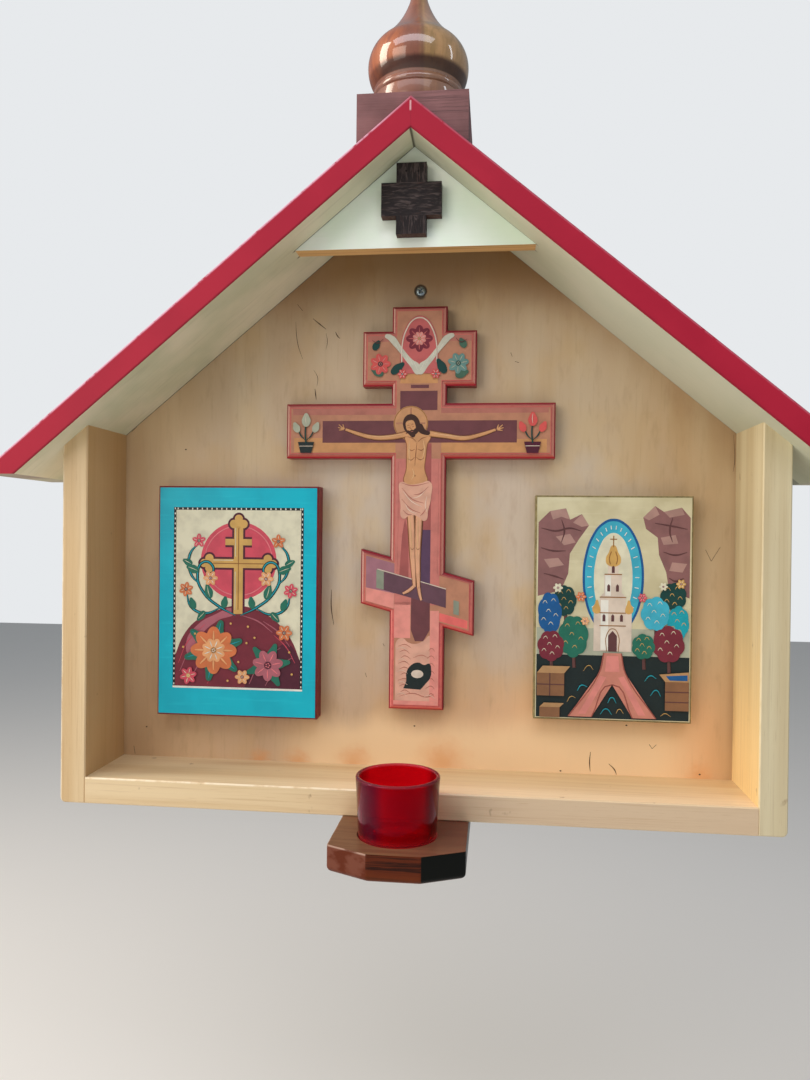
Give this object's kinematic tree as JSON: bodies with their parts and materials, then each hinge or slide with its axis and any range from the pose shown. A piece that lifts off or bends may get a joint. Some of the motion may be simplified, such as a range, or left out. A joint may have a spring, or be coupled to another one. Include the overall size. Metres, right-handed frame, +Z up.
{
  "type": "wall shrine",
  "caption": "House-shaped wooden wall shrine with a gabled roof, onion dome, three-bar cross, picture boards, shelf and a red votive glass on a bracket.",
  "frame": {"origin": "on the flat back of the case, on the ridge line, 200 mm above the underside of the shelf", "axes": "+X to the right as seen from the front, +Y into the wall, +Z up"},
  "size_m": [0.5818, 0.135, 0.5945],
  "materials": {
    "plywood": "clear satin varnish, water stains along the shelf",
    "pine": "clear satin varnish",
    "roof_paint": "crimson paint above and in front, cream paint below",
    "cream_paint": "cream paint",
    "dark_wood": "oiled dark wood",
    "red_edge": "red lacquer on bevelled edges",
    "dark_red_edge": "dark red lacquer",
    "natural_edge": "bare wood under varnish",
    "print": "varnished printed sheet",
    "screw_steel": "zinc plated, weathered",
    "bracket_wood": "dark red-brown gloss varnish",
    "red_glass": "clear deep red",
    "cedar": "bare weathered",
    "dome_wood": "gloss varnish, two laminated halves"
  },
  "bodies": {
    "root": {"back_panel": "plywood", "left_side_board": "pine", "right_side_board": "pine", "bottom_shelf": "pine", "left_roof_board": "roof_paint", "right_roof_board": "roof_paint", "gable_board": "cream_paint", "gable_cross_upright": "dark_wood", "gable_cross_arm": "dark_wood", "cross_board": "red_edge", "cross_print": "print", "left_icon_board": "dark_red_edge", "left_icon_print": "print", "right_icon_board": "natural_edge", "right_icon_print": "print", "wall_screw": "screw_steel", "lamp_bracket": "bracket_wood", "votive_glass": "red_glass", "dome_block": "cedar", "onion_dome": "dome_wood"}
  },
  "joints": []
}
